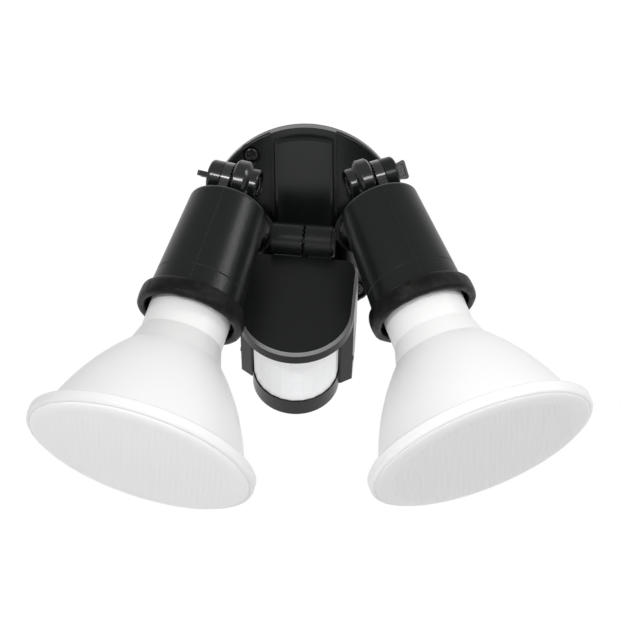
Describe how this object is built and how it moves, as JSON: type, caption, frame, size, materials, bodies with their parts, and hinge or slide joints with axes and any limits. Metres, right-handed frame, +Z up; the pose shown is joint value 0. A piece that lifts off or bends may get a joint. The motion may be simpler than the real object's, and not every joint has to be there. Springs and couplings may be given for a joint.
{
  "type": "motion sensor security light",
  "caption": "Outdoor wall light with swivelling lamp holders, reflector lamps and a motion sensor head on a round base.",
  "frame": {"origin": "centre of the round base on the wall face", "axes": "+Z up, +Y into the wall, +X to the right for a person who faces the light; the lamps stand out along -Y"},
  "size_m": [0.2896, 0.2226, 0.1748],
  "materials": {
    "black_plastic": "satin moulded",
    "black_hood": "fine grain",
    "black_rubber": "matt",
    "grey_foam": "matt foam",
    "zinc_steel": "zinc plated",
    "black_steel": "blackened",
    "bright_nickel": "nickel plated",
    "brass": "plain",
    "socket_white": "glazed",
    "lamp_white": "satin",
    "lamp_frost": "frosted",
    "lens_white": "satin",
    "board_green": "lacquered",
    "relay_blue": "gloss",
    "block_grey": "matt"
  },
  "bodies": {
    "base": {"base_housing": "black_plastic", "wall_plate": "zinc_steel", "base_seal": "grey_foam", "cable_grommet": "black_rubber", "housing_screws": "black_steel", "terminal_block": "block_grey", "terminal_screws": "brass"},
    "left_swivel": {"left_arm": "black_plastic", "left_lock_nut": "zinc_steel", "left_arm_seal": "black_rubber", "left_knuckle_nut": "bright_nickel", "left_knuckle_washer": "bright_nickel"},
    "left_clamp": {"left_thumb_screw": "black_plastic"},
    "left_head": {"left_holder": "black_plastic", "left_gasket": "black_rubber", "left_socket_body": "socket_white", "left_socket_sleeve": "brass", "left_socket_contact": "brass", "left_socket_screws": "zinc_steel"},
    "left_lamp": {"left_lamp_contact": "brass", "left_lamp_cap": "bright_nickel", "left_lamp_neck": "lamp_white", "left_lamp_collar": "lamp_white", "left_lamp_bowl": "lamp_frost", "left_lamp_lens": "lamp_frost"},
    "right_swivel": {"right_arm": "black_plastic", "right_lock_nut": "zinc_steel", "right_arm_seal": "black_rubber", "right_knuckle_nut": "bright_nickel", "right_knuckle_washer": "bright_nickel"},
    "right_clamp": {"right_thumb_screw": "black_plastic"},
    "right_head": {"right_holder": "black_plastic", "right_gasket": "black_rubber", "right_socket_body": "socket_white", "right_socket_sleeve": "brass", "right_socket_contact": "brass", "right_socket_screws": "zinc_steel"},
    "right_lamp": {"right_lamp_contact": "brass", "right_lamp_cap": "bright_nickel", "right_lamp_neck": "lamp_white", "right_lamp_collar": "lamp_white", "right_lamp_bowl": "lamp_frost", "right_lamp_lens": "lamp_frost"},
    "sensor_swivel": {"sensor_arm": "black_plastic", "sensor_lock_nut": "zinc_steel", "sensor_seal": "black_rubber", "sensor_bolt": "black_steel", "sensor_nut": "black_plastic"},
    "sensor_head": {"sensor_hood": "black_hood", "sensor_body": "black_plastic", "sensor_lens": "lens_white", "sensor_ring": "black_plastic", "sensor_board": "board_green", "sensor_detector": "zinc_steel", "sensor_relay": "relay_blue"},
    "time_dial": {"time_knob": "block_grey"},
    "light_dial": {"light_knob": "block_grey"},
    "range_dial": {"range_knob": "block_grey"}
  },
  "joints": [
    {"name": "left_pan", "type": "hinge", "parent": "base", "child": "left_swivel", "pos_m": [-0.03554, -0.06324, 0.04024], "axis": [-0.0576, -0.7059, 0.7059], "range_deg": [-60, 6]},
    {"name": "left_tilt", "type": "hinge", "parent": "left_swivel", "child": "left_head", "pos_m": [-0.03554, -0.06324, 0.04024], "axis": [-0.9564, 0.2419, 0.1639], "range_deg": [-6, 50]},
    {"name": "left_thumb_turn", "type": "hinge", "parent": "left_swivel", "child": "left_clamp", "pos_m": [-0.03554, -0.06324, 0.04024], "axis": [-0.9564, 0.2419, 0.1639], "continuous": true},
    {"name": "left_lamp_turn", "type": "hinge", "parent": "left_head", "child": "left_lamp", "pos_m": [-0.03554, -0.06324, 0.04024], "axis": [-0.288, -0.6851, -0.6691], "range_deg": [0, 360]},
    {"name": "right_pan", "type": "hinge", "parent": "base", "child": "right_swivel", "pos_m": [0.03554, -0.06324, 0.04024], "axis": [-0.0576, 0.7059, -0.7059], "range_deg": [-60, 8]},
    {"name": "right_tilt", "type": "hinge", "parent": "right_swivel", "child": "right_head", "pos_m": [0.03554, -0.06324, 0.04024], "axis": [-0.944, -0.2685, -0.1916], "range_deg": [-8, 50]},
    {"name": "right_thumb_turn", "type": "hinge", "parent": "right_swivel", "child": "right_clamp", "pos_m": [0.03554, -0.06324, 0.04024], "axis": [0.944, 0.2685, 0.1916], "continuous": true},
    {"name": "right_lamp_turn", "type": "hinge", "parent": "right_head", "child": "right_lamp", "pos_m": [0.03554, -0.06324, 0.04024], "axis": [0.3258, -0.6679, -0.6691], "range_deg": [0, 360]},
    {"name": "sensor_pan", "type": "hinge", "parent": "base", "child": "sensor_swivel", "pos_m": [0, -0.05355, 0.00345], "axis": [0, -0.7071, 0.7071], "range_deg": [-15, 22]},
    {"name": "sensor_tilt", "type": "hinge", "parent": "sensor_swivel", "child": "sensor_head", "pos_m": [0, -0.05355, 0.00345], "axis": [0.9945, -0.0739, -0.0739], "range_deg": [-14, 8]},
    {"name": "time_turn", "type": "hinge", "parent": "sensor_head", "child": "time_dial", "pos_m": [-0.01844, -0.03778, -0.07104], "axis": [-0.0203, 0.557, -0.8302], "range_deg": [-135, 135]},
    {"name": "light_turn", "type": "hinge", "parent": "sensor_head", "child": "light_dial", "pos_m": [-0.00452, -0.03881, -0.07208], "axis": [-0.0203, 0.557, -0.8302], "range_deg": [-135, 135]},
    {"name": "range_turn", "type": "hinge", "parent": "sensor_head", "child": "range_dial", "pos_m": [0.00941, -0.03985, -0.07311], "axis": [-0.0203, 0.557, -0.8302], "range_deg": [-135, 135]}
  ]
}
